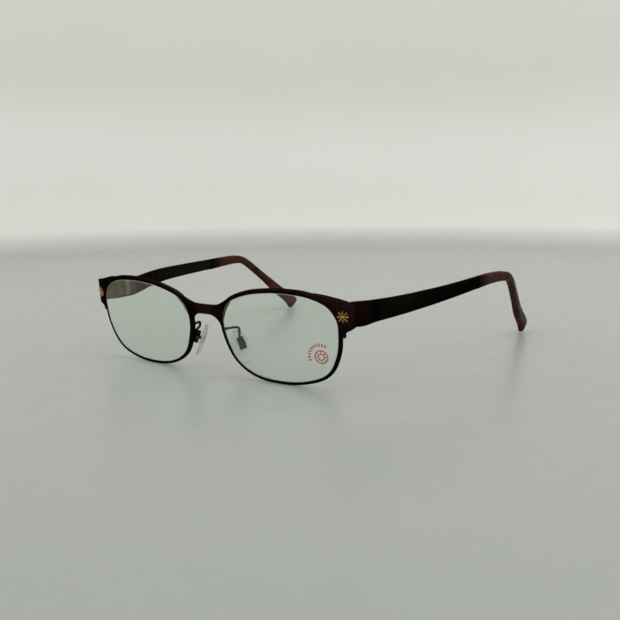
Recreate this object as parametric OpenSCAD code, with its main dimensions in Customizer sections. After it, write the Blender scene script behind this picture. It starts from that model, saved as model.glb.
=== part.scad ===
// Full-rim metal eyeglasses with three-knuckle hinges, adjustable nose pads and acetate tips.
// +Z is up, the front faces -Y, and the temples run back towards +Y. Left and right are the wearer's.

/* [Front] */
// Distance from the middle of the bridge to the middle of each lens
lens_x = 35.7; // [35:0.1:37]
// Forward lean of the lenses' top edges, in degrees
tilt = 10.7; // [8:0.1:12]
// Turn of each lens round the face, in degrees
wrap = 3; // [1:0.5:5]
// Radius of the lens's front curve
base_radius = 130; // [110:5:180]

/* [Rims] */
// Depth of the rim wire from front to back
rim_depth = 1.5; // [1.4:0.1:2]
// Depth of the groove that holds the lens's bevel
groove = 0.5; // [0.3:0.05:0.6]
// Gap in each rim that the rim lock closes
split_gap = 0.16; // [0.1:0.02:0.3]

/* [End pieces] */
// Half of the width over the end pieces
half_front = 67.1; // [66.8:0.1:67.6]
// Thickness of the end piece's sheet
sheet = 1.5; // [1.3:0.1:1.7]

/* [Hinges] */
// Height of the hinge from its bottom knuckle to its top knuckle
hinge_height = 6; // [5:0.5:7]
// Radius of the knuckles
knuckle_r = 1.25; // [1.1:0.05:1.3]
// Radius of the hinge screw's shank
hinge_screw_r = 0.7; // [0.6:0.05:0.75]
// Slope of the temples, up towards the back, in degrees
temple_slope = 3.1; // [2:0.1:4]

/* [Temples] */
// Length of the metal blade from the hinge to the acetate tip
blade_length = 70; // [68:0.5:71]
// Thickness of the metal blade
blade_thickness = 1.5; // [1.2:0.1:1.6]

/* [Nose pads] */
// Length of a nose pad
pad_length = 14.6; // [13:0.2:15]
// Width of a nose pad
pad_width = 7.6; // [7:0.2:8]
// Lean of the pads' tops towards each other, in degrees
pad_frontal = 26; // [22:1:30]
// Turn of the pads' backs away from each other, in degrees
pad_splay = 40; // [35:1:42]

/* [Hidden] */

LEFT = 1;
RIGHT = -1;

// How far the model moves forward, so that the middle of its depth is at Y = 0
front_shift = 78.26;

// ---- Curves and lofts ----

function lerp(a, b, t) = a + (b - a) * t;

// One step of a smooth curve through b and c, with neighbours a and d
function smooth(a, b, c, d, t) =
    0.5 * (2 * b + (c - a) * t + (2 * a - 5 * b + 4 * c - d) * t * t + (3 * b - a - 3 * c + d) * t * t * t);

// A closed smooth curve at parameter t, which counts the control points
function on_loop(pts, t) =
    let (n = len(pts), i = floor(t))
    smooth(pts[(i + n - 1) % n], pts[i % n], pts[(i + 1) % n], pts[(i + 2) % n], t - i);

// An open smooth curve at parameter t, from 0 at the first control point
function on_path(pts, t) =
    let (n = len(pts), i = min(floor(t), n - 2))
    smooth(pts[max(i - 1, 0)], pts[i], pts[i + 1], pts[min(i + 2, n - 1)], t - i);

// Samples along a whole open curve
function along(pts, steps) = [for (k = [0 : steps]) on_path(pts, k * (len(pts) - 1) / steps)];

function sum(pts, i = 0) = i == len(pts) - 1 ? pts[i] : pts[i] + sum(pts, i + 1);
function middle(pts) = sum(pts) / len(pts);
function unit(v) = v / norm(v);

// A closed solid through rings of points, each ring anticlockwise seen from the last ring.
// Each end is a fan round the middle of its ring, or round a point given in ends.
module loft(rings, ends = []) {
    n = len(rings[0]);
    last = len(rings) - 1;
    hubs = len(ends) == 2 ? ends : [middle(rings[0]), middle(rings[last])];
    skin = [for (r = [0 : last - 1]) for (i = [0 : n - 1])
        let (j = (i + 1) % n, a = r * n + i, b = r * n + j, c = (r + 1) * n + j, d = (r + 1) * n + i)
        each [[a, c, b], [a, d, c]]];
    start = n * (last + 1);
    caps = [for (i = [0 : n - 1]) let (j = (i + 1) % n) each [[start, i, j], [start + 1, last * n + j, last * n + i]]];
    polyhedron(points = concat([for (ring = rings) each ring], hubs),
        faces = concat(skin, caps), convexity = 8);
}

// A section of points with its corners cut by e
function cut_corners(q, e) =
    let (n = len(q))
    [for (i = [0 : n - 1])
        let (p = q[i], before = q[(i + n - 1) % n], after = q[(i + 1) % n])
        each [p + unit(before - p) * e, p + unit(after - p) * e]];

// An oval section of n points between an upper and a lower point, with its own side direction and width
function oval(upper, lower, side, width, square, n) =
    let (c = (upper + lower) / 2, h = (upper - lower) / 2)
    [for (i = [0 : n - 1])
        let (a = -360 * i / n, x = cos(a), z = sin(a))
        c + side * (width / 2 * sign(x) * pow(abs(x), square)) + h * (sign(z) * pow(abs(z), square))];

// Puts a part of the wearer's left side in its place, or its mirror image on the right
module on_side(side) {
    translate([0, -front_shift, 0])
        if (side == LEFT) children();
        else mirror([1, 0, 0]) children();
}

// ---- The lens outline and the curved front ----

// Lens outline seen from the front, clockwise from the temple side: [outward, up]
lens_outline = [
    [25.6, 5.5], [24.25, -3.45], [19.45, -11.35], [10, -15.2], [-1.7, -16.35], [-13, -15.2], [-21.4, -10.4], [-25.6, -2],
    [-26.5, 6], [-22.9, 12.8], [-14, 16.8], [-4, 18.6], [5, 18.85], [14, 17.9], [21.4, 14.95], [24.9, 10.4]
];
// Width of the rim's face at each point of the outline
rim_widths = [1.15, 1.15, 1.2, 1.15, 1.1, 1.1, 1.15, 1.45, 1.5, 1.6, 1.55, 1.52, 1.65, 1.75, 1.5, 1.2];
turns = len(lens_outline);
// Where the rim is split, as a parameter of the outline
split_at = 0.13;
rim_steps = 80;

function outline(t) = on_loop(lens_outline, t % turns);
function outline_way(t) = unit(outline(t + 0.02) - outline(t + turns - 0.02));
function outward(t) = let (w = outline_way(t)) [-w.y, w.x];
function rim_width(t) = on_loop(rim_widths, t % turns);

// A point of the curved, tilted and wrapped front: u outward, v up, d back from the front surface.
// It is measured from the lens's middle.
function front_local(u, v, d) =
    let (
        w = (u * u + v * v) / (2 * base_radius) + d,
        y = w * cos(tilt) - v * sin(tilt),
        z = v * cos(tilt) + w * sin(tilt)
    )
    [u * cos(wrap) - y * sin(wrap), u * sin(wrap) + y * cos(wrap), z];

// The lens's middle stands as high as the rim's lowest point needs
lens_z = -min([for (k = [0 : rim_steps - 1])
    let (t = split_at + turns * k / rim_steps, p = outline(t) + outward(t) * rim_width(t))
    front_local(p.x, p.y, 0.25).z]);

function front(u, v, d) = front_local(u, v, d) + [lens_x, 0, lens_z];

// A point beside the outline: s outward from it along the front, d back
function beside(t, s, d) = let (p = outline(t) + outward(t) * s) front(p.x, p.y, d);

// Turns a child's Z axis to point up the front and its Y axis to point into it
module on_front(u, v, d) {
    translate(front(u, v, d))
        rotate([0, 0, wrap])
            rotate([tilt - atan(v / base_radius), 0, 0])
                rotate([0, 0, atan(u / base_radius)])
                    children();
}

// ---- Rims and lenses ----

edge_round = 0.25;
groove_half = 0.55;
// Play between the lens's edge and the rim, all round
lens_play = 0.04;
lens_thickness = 1.25;

// The rim's section at one place: [outward, back], with a V groove on its inner side
function rim_section(width) = [
    [0.12, 0], [width - edge_round, 0], [width, edge_round], [width, rim_depth - edge_round],
    [width - edge_round, rim_depth], [0.12, rim_depth], [0, rim_depth - 0.12],
    [0, rim_depth / 2 + groove_half], [groove, rim_depth / 2], [0, rim_depth / 2 - groove_half], [0, 0.12]
];

module rim() {
    half_gap = split_gap / 2 / norm(outline(split_at + 0.5) - outline(split_at - 0.5 + turns));
    places = concat([split_at + half_gap],
        [for (k = [1 : rim_steps - 1]) split_at + turns * k / rim_steps],
        [split_at + turns - half_gap]);
    loft([for (k = [len(places) - 1 : -1 : 0])
        let (t = places[k])
        [for (q = rim_section(rim_width(t))) beside(t, q.x, q.y)]]);
}

// Rings from the middle of the lens's front face, over its bevelled edge, to the middle of its back face
module lens() {
    front_face = (rim_depth - lens_thickness) / 2;
    back_face = front_face + lens_thickness;
    mid = rim_depth / 2;
    bevel_half = groove_half - lens_play - 0.03;
    rings = [
        [0.35, front_face], [0.7, front_face], [0.93, front_face], [1, front_face + 0.12],
        [1, mid - bevel_half], [2, mid], [1, mid + bevel_half],
        [1, back_face - 0.12], [0.93, back_face], [0.7, back_face], [0.35, back_face]
    ];
    loft([for (r = rings) [for (k = [0 : rim_steps - 1])
        let (
            t = split_at + turns * k / rim_steps,
            edge = outline(t) + outward(t) * (r[0] > 1 ? groove - lens_play * 1.6 : -lens_play),
            p = edge * min(r[0], 1)
        )
        front(p.x, p.y, r[1])]]);
}

// ---- Rim locks ----

lock_width = 1.5;
lock_height = 0.85;
lock_depth = 1.3;
lock_screw_x = 0.85;
lock_screw_r = 0.3;
lock_head_r = 0.5;
lock_head_h = 0.3;
lock_bore_r = 0.34;
lock_thread_r = 0.28;

// The lock's frame: X outward from the rim, Z up along it, origin on the split
module at_lock() {
    p = outline(split_at);
    way = outline_way(split_at);
    on_front(p.x, p.y, rim_depth / 2)
        rotate([0, atan2(-way.x, -way.y), 0])
            translate([rim_width(split_at) - 0.15, 0, 0])
                children();
}

module lock_block(bore_r) {
    difference() {
        translate([0, -lock_depth / 2, split_gap / 2]) cube([lock_width, lock_depth, lock_height]);
        translate([lock_screw_x, 0, 0]) cylinder(r = bore_r, h = 4, center = true, $fn = 32);
    }
}

module rim_lock_upper() {
    at_lock() lock_block(lock_thread_r);
}

module rim_lock_lower() {
    at_lock() mirror([0, 0, 1]) lock_block(lock_bore_r);
}

// The screw comes in from below, through the lower block and into the upper one
module rim_lock_screw() {
    base = -lock_height - split_gap / 2;
    at_lock() translate([lock_screw_x, 0, 0]) difference() {
        union() {
            translate([0, 0, base]) cylinder(r = lock_screw_r, h = 2 * lock_height + split_gap - 0.2, $fn = 32);
            translate([0, 0, base - lock_head_h]) cylinder(r = lock_head_r, h = lock_head_h, $fn = 32);
        }
        translate([0, 0, base - lock_head_h]) cube([0.18, 3, 0.3], center = true);
    }
}

// ---- Bridge ----

bridge_top = 28.4;
bridge_bottom = 24.55;
bridge_back = [0, 1.3, 0.2];

// Half of the bridge, from its middle to the rim: the upper, middle and lower points of its front face
function bridge_half() =
    let (neck = 5.2, t_top = 9.5, t_mid = 8.7, t_low = 7.6, proud = -0.12)
    [
        [[0, -0.55, bridge_top], [0, -0.37, 26.5], [0, -0.2, bridge_bottom]],
        [[3, -0.5, bridge_top], [3, -0.35, 26.45], [3, -0.15, bridge_bottom - 0.1]],
        [[neck, -0.45, bridge_top + 0.15], [neck, -0.25, 26.2], [neck, 0, bridge_bottom - 0.85]],
        [[7.6, -0.45, bridge_top + 0.75], [7, -0.1, 25.5], [6.9, 0.35, bridge_bottom - 2.4]],
        [beside(t_top, 1.3, proud) + [-2, 0, -0.9], beside(t_mid, 1.7, proud), beside(t_low, 1.3, proud)],
        [beside(t_top, 1.15, proud), beside(t_mid, 1.3, proud), beside(t_low, 1.15, proud)]
    ];

module bridge() {
    half = bridge_half();
    edges = [for (e = [0 : 2]) [for (s = half) s[e]]];
    steps = 14;
    right = [for (k = [0 : steps])
        let (t = k * (len(half) - 1) / steps, q = [for (e = edges) on_path(e, t)])
        cut_corners([q[2], q[2] + bridge_back, q[1] + bridge_back, q[0] + bridge_back, q[0], q[1]], 0.2)];
    left = [for (k = [steps : -1 : 1]) [for (p = right[k]) [-p.x, p.y, p.z]]];
    hub = half[len(half) - 1][1] + bridge_back / 2;
    loft(concat(left, right), [[-hub.x, hub.y, hub.z], hub]);
}

// ---- End pieces ----

corner_r = 2.1;
// The hinge's own frame has its origin at the middle of the hinge, its Y axis back along the temple
// and its Z axis along the hinge screw
hinge_x = 63.68;
hinge_y = 17.6;
hinge_z = 28.85;
joint_gap = 0.06;
blade_outer = 66.6;

module at_hinge() {
    translate([hinge_x, hinge_y, hinge_z]) rotate([temple_slope, 0, 0]) children();
}

// A point in the hinge's frame, given across the model, back along the temple and up the screw
function from_hinge(x, s, h) = [
    x,
    hinge_y + s * cos(temple_slope) - h * sin(temple_slope),
    hinge_z + s * sin(temple_slope) + h * cos(temple_slope)
];

// Sections of the flared front plate, each [upper u and v, lower u and v], the lower ones on the rim
flare = [
    [[13.5, 19.35], [13.5, 18.7]],
    [[17.5, 19.2], [17.7, 17.3]],
    [[21.3, 18.6], [22.1, 15.05]],
    [[24.4, 17.85], [25.3, 11.25]],
    [[25.7, 17.55], [26.1, 8.3]],
    [[26.6, 17.3], [26.4, 5.6]],
    [[27.8, 16.95], [27.6, 4.9]],
    [[29.2, 16.5], [29.3, 5.9]]
];

module end_piece() {
    plate = along(flare, 21);
    corner_x = half_front - corner_r;
    front_rings = [for (q = plate)
        let (
            a = front(q[0].x, q[0].y, -0.12), b = front(q[1].x, q[1].y, -0.12),
            a2 = front(q[0].x, q[0].y, sheet), b2 = front(q[1].x, q[1].y, sheet)
        )
        cut_corners([b, b2, a2, a], 0.2)];
    // The corner turns round an upright edge that leans with the front
    top_y = front(29.5, 16.5, -0.12).y + corner_r + 0.1;
    low_y = front(29.5, 7.5, -0.12).y + corner_r + 0.1;
    top_z = 34.15;
    low_z = 24.9;
    corner_rings = [for (a = [18 : 18 : 90])
        let (
            out = [sin(a), -cos(a), 0],
            zt = lerp(front(29.2, 16.5, 0).z, top_z, a / 90), zb = lerp(front(29.3, 5.9, 0).z, low_z, a / 90),
            top = [corner_x, top_y, zt], low = [corner_x, low_y, zb]
        )
        cut_corners([low + out * corner_r, low + out * (corner_r - sheet),
            top + out * (corner_r - sheet), top + out * corner_r], 0.2)];
    // The return runs straight back to the joint with the temple
    joint_top = from_hinge(blade_outer, -joint_gap / 2, 4.2);
    joint_low = from_hinge(blade_outer, -joint_gap / 2, -4.4);
    inward = [-sheet, 0, 0];
    start_top = [half_front, top_y, top_z];
    start_low = [half_front, low_y, low_z];
    return_rings = [for (k = [0.25, 0.5, 0.75, 1])
        let (top = lerp(start_top, joint_top, k), low = lerp(start_low, joint_low, k) - [0, 0, 0.35 * sin(180 * k)])
        cut_corners([low, low + inward, top + inward, top], 0.2)];
    difference() {
        loft(concat(front_rings, corner_rings, return_rings));
        // The rim lock's screw ends in a hole in the lower edge
        at_lock() translate([lock_screw_x, 0, 0]) cylinder(r = lock_bore_r, h = lock_height + 0.2, $fn = 32);
    }
}

// ---- Rosettes ----

rosette_u = 27.9;
rosette_v = 11.4;
rosette_r = 2.35;

// A generic flower of eight beads round a domed centre, on a thin disc
module rosette() {
    on_front(rosette_u, rosette_v, -0.05) rotate([90, 0, 0]) {
        cylinder(r = rosette_r - 0.25, h = 0.45, $fn = 48);
        for (i = [0 : 7])
            rotate([0, 0, 45 * i]) translate([rosette_r - 0.72, 0, 0]) cylinder(r = 0.68, h = 0.75, $fn = 24);
        cylinder(r = 0.85, h = 1.05, $fn = 32);
    }
}

// ---- Hinges ----

knuckle_gap = 0.05;
knuckle_height = hinge_height / 3;
leaf_inner = 0.6;
leaf = 1.1;
leaf_length = 5.2;
bore_play = 0.05;
bore_r = hinge_screw_r + bore_play;
thread_r = hinge_screw_r - 0.02;
head_r = 1.15;
head_h = 0.55;

// A knuckle round the screw, with the web that joins it to its leaf; way is -1 for the front leaf
module knuckle(h0, h1, way) {
    translate([0, 0, h0]) {
        cylinder(r = knuckle_r, h = h1 - h0, $fn = 48);
        translate([leaf_inner, way > 0 ? joint_gap : -joint_gap - 1.5, 0]) cube([leaf, 1.5, h1 - h0]);
    }
}

// A leaf lies on the inner face of the sheet it is soldered to, cut clear of the other leaf's knuckle
module hinge_leaf(way) {
    translate([leaf_inner, way > 0 ? joint_gap : -joint_gap - leaf_length, -hinge_height / 2])
        cube([leaf, leaf_length, hinge_height]);
}

module clear_of(h0, h1) {
    translate([0, 0, h0 - knuckle_gap]) cylinder(r = knuckle_r + 0.12, h = h1 - h0 + 2 * knuckle_gap, $fn = 48);
}

module hinge_front() {
    half = hinge_height / 2;
    at_hinge() difference() {
        union() {
            difference() {
                hinge_leaf(-1);
                clear_of(-knuckle_height / 2, knuckle_height / 2);
            }
            knuckle(knuckle_height / 2 + knuckle_gap, half, -1);
            knuckle(-half, -knuckle_height / 2 - knuckle_gap, -1);
        }
        translate([0, 0, 0]) cylinder(r = bore_r, h = half + 1, $fn = 48);
        translate([0, 0, -half - 1]) cylinder(r = thread_r, h = half + 1.5, $fn = 48);
    }
}

module hinge_temple() {
    half = hinge_height / 2;
    at_hinge() difference() {
        union() {
            difference() {
                hinge_leaf(1);
                clear_of(knuckle_height / 2 + knuckle_gap, half + 1);
                clear_of(-half - 1, -knuckle_height / 2 - knuckle_gap);
            }
            knuckle(-knuckle_height / 2, knuckle_height / 2, 1);
        }
        cylinder(r = bore_r, h = knuckle_height + 2, center = true, $fn = 48);
    }
}

// The screw's slotted head rests on the top knuckle
module hinge_screw() {
    half = hinge_height / 2;
    at_hinge() difference() {
        union() {
            translate([0, 0, -half - 0.3]) cylinder(r = hinge_screw_r, h = hinge_height + 0.3, $fn = 48);
            translate([0, 0, half]) cylinder(r = head_r, h = head_h, $fn = 48);
        }
        translate([0, 0, half + head_h]) cube([0.3, 4, 0.5], center = true);
    }
}

// ---- Temples ----

blade_end_x = 77.15;

// Blade sections back from the hinge: [distance, outer face's x, height above, depth below]
blade_sections = [
    [joint_gap, 66.6, 4.2, 4.4], [5.2, 66.9, 3.7, 4.5], [12.5, 69.2, 3.45, 4.15], [20.5, 72, 3.5, 3.55],
    [32.5, 74.9, 3.5, 2.9], [44.5, 76.2, 3.2, 2.7], [58.5, 76.9, 2.85, 2.65], [blade_length, blade_end_x, 2.55, 2.7]
];

module temple_frame() {
    translate([0, hinge_y, hinge_z]) rotate([temple_slope, 0, 0]) children();
}

module temple() {
    temple_frame() loft([for (q = along(blade_sections, 20))
        let (s = q[0], x = q[1], up = q[2], low = -q[3], w = blade_thickness)
        cut_corners([[x, s, low], [x - w, s, low], [x - w, s, up], [x, s, up]], 0.25)]);
}

// The lowest point of the tip stands on the table
tip_end = 133.1;
tip_end_low = -(hinge_z + tip_end * sin(temple_slope)) / cos(temple_slope);

// Tip sections: [upper distance, upper height, lower distance, lower height, middle's x, thickness]
tip_sections = [
    [blade_length + 0.05, 2.65, blade_length + 0.05, -2.9, blade_end_x - blade_thickness / 2, 2.5],
    [82, 2.35, 82, -2.7, 77, 3.1],
    [93.5, 1.4, 92.3, -3, 78.3, 3.3],
    [102.3, -1.6, 100.5, -5, 78.6, 3.4],
    [115.4, -12.2, 112.8, -15.4, 76.1, 3.5],
    [126.3, -20.9, 122.3, -25.2, 73.9, 3.6],
    [136.2, -28.1, 129.3, -31.2, 72.8, 3.6],
    [139.8, -31.3, tip_end, tip_end_low, 72.2, 3.3]
];
tip_steps = 21;
tip_points = 16;
side_way = [1, 0, 0];

function tip_ring(q, up_cut, low_cut, width, square) =
    let (u = [q[4], q[0], q[1]], l = [q[4], q[2], q[3]])
    oval(lerp(u, l, up_cut), lerp(l, u, low_cut), side_way, width, square, tip_points);

// The core wire's sections follow the tip's middle line, and stop short of its end
core_thickness = 1.1;
core_share = 0.3;
core_play = 0.05;
core_steps = 16;

function core_ring(q, play) =
    let (
        u = [q[4], q[0], q[1]], l = [q[4], q[2], q[3]], c = (u + l) / 2, h = 1.15 + play
    )
    oval(c + unit(u - l) * h, c - unit(u - l) * h, side_way, core_thickness + 2 * play, 0.7, tip_points);

module temple_tip() {
    shell = along(tip_sections, tip_steps);
    bore = [for (k = [core_steps : -1 : 0]) core_ring(shell[k], core_play)];
    skin = [for (q = shell) tip_ring(q, 0, 0, q[5], 0.72)];
    last = shell[tip_steps];
    past = [0, 0.55, -0.25];
    cap = [for (p = tip_ring(last, 0.12, 0.06, last[5] * 0.55, 0.8)) p + past * 0.4];
    temple_frame() loft(concat(bore, skin, [cap]));
}

// The wire runs from its brazed end in the blade to just before the end of the tip's bore
module core_wire() {
    shell = along(tip_sections, tip_steps);
    first = shell[0];
    root = [first[0] - 0.7, first[1], first[2] - 0.7, first[3], first[4], first[5]];
    temple_frame() loft([for (k = [-1 : core_steps - 1]) core_ring(k < 0 ? root : shell[k], 0)]);
}

// ---- Nose pads ----

// The pad's frame: Z up the pad, Y towards the nose, X along the pad screw, origin on the screw
pad_pos = [12.2, 8.4, 12.9];
pad_offset = 2.35;
pad_screw_r = 0.4;
box_wall = 0.7;
box_slot = 1.1;
box_tall = 4.8;
box_front = 0.8;
box_back = 1.4;
slot_back = 0.95;

module at_pad() {
    translate(pad_pos) rotate([0, -pad_frontal, 0]) rotate([0, 0, 90 - pad_splay]) children();
}

// Outline of the pad: a rounded drop, fuller below, as [across, up]
function pad_outline(a) =
    let (fuller = 1 - 0.14 * sin(a))
    [pad_width / 2 * cos(a) * fuller, pad_length / 2 * sin(a)];

module nose_pad() {
    // Each ring: [size, place towards the nose]
    rings = [[0.35, -1.0], [0.8, -0.95], [0.96, -0.6], [1, -0.1], [0.96, 0.35], [0.8, 0.75], [0.45, 1.0]];
    at_pad() translate([0, pad_offset, -0.6]) difference() {
        loft([for (r = rings) [for (i = [0 : 27])
            let (p = pad_outline(-360 * i / 28) * r[0])
            [p.x, r[1] + 0.012 * p.x * p.x, p.y]]]);
        translate([-0.85, -2, -0.35]) cube([1.7, 2.2, 2.5]);
    }
}

// A tab with a hole for the screw, and a foot sealed in the pad
module pad_insert() {
    tab = 0.9;
    at_pad() difference() {
        union() {
            translate([-tab / 2, 0, -0.75]) cube([tab, pad_offset - 0.8, 1.5]);
            rotate([0, 90, 0]) cylinder(r = 0.85, h = tab, center = true, $fn = 32);
            translate([-0.8, pad_offset - 0.92, -0.9]) cube([1.6, 1, 2.4]);
        }
        rotate([0, 90, 0]) cylinder(r = pad_screw_r + bore_play, h = 3, center = true, $fn = 32);
    }
}

// A channel with two cheeks that the screw crosses
module pad_box() {
    wide = box_slot + 2 * box_wall;
    at_pad() difference() {
        translate([-wide / 2, -box_back, -box_tall / 2]) cube([wide, box_back + box_front, box_tall]);
        translate([-box_slot / 2, -slot_back, -box_tall / 2 + 0.4]) cube([box_slot, 3, box_tall - 0.8]);
        rotate([0, 90, 0]) cylinder(r = pad_screw_r - 0.02, h = 6, center = true, $fn = 32);
    }
}

module pad_screw() {
    half = box_slot / 2 + box_wall;
    at_pad() rotate([0, 90, 0]) difference() {
        union() {
            cylinder(r = pad_screw_r, h = 2 * half, center = true, $fn = 32);
            translate([0, 0, half]) cylinder(r = 0.75, h = 0.4, $fn = 32);
        }
        translate([0, 0, half + 0.4]) cube([0.22, 3, 0.4], center = true);
    }
}

// The arm is a bent wire from the back of the rim to the back of the pad box
pad_arm_r = 0.5;
pad_arm_route = [
    [8.62, 2.35, 19.3], [9.4, 4.8, 19.3], [10.1, 7.2, 19.3], [10.7, 8.6, 18.8], [11, 8.6, 17.3],
    [11.7, 7.8, 16.2], [12.3, 7.35, 15.4], [12.9, 7.3, 14.4]
];

module pad_arm() {
    line = along(pad_arm_route, 18);
    n = len(line);
    loft([for (k = [0 : n - 1])
        let (
            way = unit(line[min(k + 1, n - 1)] - line[max(k - 1, 0)]),
            across = unit(cross(way, [1, 0.3, 0])), up = cross(way, across)
        )
        [for (i = [0 : 9]) line[k] + (across * cos(36 * i) + up * sin(36 * i)) * pad_arm_r]]);
}

// ---- The parts in their places ----

metal = "#3d2a22";
dark = "#191714";
acetate = "#4a1f14";
gold = "#c9a24a";
steel = "#b9b4a4";

module rims(side) { color(metal) on_side(side) rim(); }
module lenses(side) { color([0.8, 0.9, 0.86, 0.35]) on_side(side) lens(); }
module locks_upper(side) { color(metal) on_side(side) rim_lock_upper(); }
module locks_lower(side) { color(metal) on_side(side) rim_lock_lower(); }
module lock_screws(side) { color(steel) on_side(side) rim_lock_screw(); }
module end_pieces(side) { color(metal) on_side(side) end_piece(); }
module rosettes(side) { color(gold) on_side(side) rosette(); }
module hinge_fronts(side) { color(steel) on_side(side) hinge_front(); }
module hinge_temples(side) { color(steel) on_side(side) hinge_temple(); }
module hinge_screws(side) { color(steel) on_side(side) hinge_screw(); }
module temples(side) { color(dark) on_side(side) temple(); }
module core_wires(side) { color(steel) on_side(side) core_wire(); }
module temple_tips(side) { color(acetate) on_side(side) temple_tip(); }
module pad_arms(side) { color(metal) on_side(side) pad_arm(); }
module pad_boxes(side) { color(metal) on_side(side) pad_box(); }
module nose_pads(side) { color([0.9, 0.93, 0.92, 0.6]) on_side(side) nose_pad(); }
module pad_inserts(side) { color(steel) on_side(side) pad_insert(); }
module pad_screws(side) { color(steel) on_side(side) pad_screw(); }

color(metal) on_side(LEFT) bridge();
lenses(LEFT);  // left_lens
rims(LEFT);  // left_rim
locks_upper(LEFT);  // left_rim_lock_upper
locks_lower(LEFT);  // left_rim_lock_lower
lock_screws(LEFT);  // left_rim_lock_screw
end_pieces(LEFT);  // left_end_piece
rosettes(LEFT);  // left_rosette
hinge_fronts(LEFT);  // left_hinge_front
hinge_temples(LEFT);  // left_hinge_temple
hinge_screws(LEFT);  // left_hinge_screw
temples(LEFT);  // left_temple
core_wires(LEFT);  // left_core_wire
temple_tips(LEFT);  // left_temple_tip
pad_arms(LEFT);  // left_pad_arm
pad_boxes(LEFT);  // left_pad_box
nose_pads(LEFT);  // left_nose_pad
pad_inserts(LEFT);  // left_pad_insert
pad_screws(LEFT);  // left_pad_screw
lenses(RIGHT);  // right_lens
rims(RIGHT);  // right_rim
locks_upper(RIGHT);  // right_rim_lock_upper
locks_lower(RIGHT);  // right_rim_lock_lower
lock_screws(RIGHT);  // right_rim_lock_screw
end_pieces(RIGHT);  // right_end_piece
rosettes(RIGHT);  // right_rosette
hinge_fronts(RIGHT);  // right_hinge_front
hinge_temples(RIGHT);  // right_hinge_temple
hinge_screws(RIGHT);  // right_hinge_screw
temples(RIGHT);  // right_temple
core_wires(RIGHT);  // right_core_wire
temple_tips(RIGHT);  // right_temple_tip
pad_arms(RIGHT);  // right_pad_arm
pad_boxes(RIGHT);  // right_pad_box
nose_pads(RIGHT);  // right_nose_pad
pad_inserts(RIGHT);  // right_pad_insert
pad_screws(RIGHT);  // right_pad_screw
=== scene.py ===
"""Full-rim metal eyeglasses: the visual model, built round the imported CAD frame.

Lengths are millimetres in the design's own place, with the front at Y = 0, until add_piece() puts
them in the frame. Shapes are made for the wearer's left side (+X) and mirrored for the right.
"""

import math

import bmesh
import bpy
import numpy as np
from mathutils import Matrix, Vector


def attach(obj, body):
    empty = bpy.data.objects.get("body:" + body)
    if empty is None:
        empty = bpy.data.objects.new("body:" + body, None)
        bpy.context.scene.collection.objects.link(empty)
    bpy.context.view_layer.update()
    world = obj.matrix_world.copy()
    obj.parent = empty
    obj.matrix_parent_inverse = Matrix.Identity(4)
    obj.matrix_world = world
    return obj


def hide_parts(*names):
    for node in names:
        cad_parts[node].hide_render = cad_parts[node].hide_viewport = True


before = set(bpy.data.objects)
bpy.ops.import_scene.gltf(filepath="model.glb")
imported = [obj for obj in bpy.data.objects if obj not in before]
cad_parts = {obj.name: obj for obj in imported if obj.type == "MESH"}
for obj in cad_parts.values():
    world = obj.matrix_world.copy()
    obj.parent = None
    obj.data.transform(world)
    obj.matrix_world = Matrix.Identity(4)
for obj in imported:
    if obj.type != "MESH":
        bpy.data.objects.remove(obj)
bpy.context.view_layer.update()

MM = 0.001
SIDES = {"left": 1, "right": -1}

# ---- Driving dimensions, as in the CAD design ----

LENS_X = 35.7
TILT = math.radians(10.7)
WRAP = math.radians(3)
BASE_RADIUS = 130.0
RIM_DEPTH = 1.5
GROOVE = 0.5
GROOVE_HALF = 0.55
SPLIT_GAP = 0.16
SPLIT_AT = 0.13
EDGE_ROUND = 0.25
INNER_ROUND = 0.12
LENS_PLAY = 0.04
LENS_THICKNESS = 1.25
HALF_FRONT = 67.1
SHEET = 1.5
PROUD = -0.12
CORNER_R = 2.1
HINGE = (63.68, 17.6, 28.85)
JOINT_GAP = 0.06
SLOPE = math.radians(3.1)
BLADE_OUTER = 66.6
BLADE_LENGTH = 70.0
BLADE_THICKNESS = 1.5
BLADE_END_X = 77.15
FRONT_SHIFT = 78.26

# Lens outline seen from the front, clockwise from the temple side: outward, up
LENS_OUTLINE = np.array([
    (25.6, 5.5), (24.25, -3.45), (19.45, -11.35), (10, -15.2), (-1.7, -16.35), (-13, -15.2),
    (-21.4, -10.4), (-25.6, -2), (-26.5, 6), (-22.9, 12.8), (-14, 16.8), (-4, 18.6),
    (5, 18.85), (14, 17.9), (21.4, 14.95), (24.9, 10.4),
])
# The rim's width at each point of the outline
RIM_WIDTHS = np.array([
    1.15, 1.15, 1.2, 1.15, 1.1, 1.1, 1.15, 1.45, 1.5, 1.6, 1.55, 1.52, 1.65, 1.75, 1.5, 1.2,
])
TURNS = len(LENS_OUTLINE)


# ---- Curves ----

def unit(v):
    return v / np.linalg.norm(v)


def lerp(a, b, t):
    return a + (b - a) * t


def smooth(a, b, c, d, t):
    """One step of a smooth curve through b and c, with neighbours a and d."""
    square = 2 * a - 5 * b + 4 * c - d
    cube = 3 * b - a - 3 * c + d
    return 0.5 * (2 * b + (c - a) * t + square * t ** 2 + cube * t ** 3)


def on_loop(points, t):
    n, i = len(points), math.floor(t)
    return smooth(points[(i - 1) % n], points[i % n], points[(i + 1) % n], points[(i + 2) % n], t - i)


def on_path(points, t):
    i = min(math.floor(t), len(points) - 2)
    return smooth(points[max(i - 1, 0)], points[i], points[i + 1], points[min(i + 2, len(points) - 1)], t - i)


def along(points, steps):
    points = np.array(points, float)
    return [on_path(points, k * (len(points) - 1) / steps) for k in range(steps + 1)]


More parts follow.
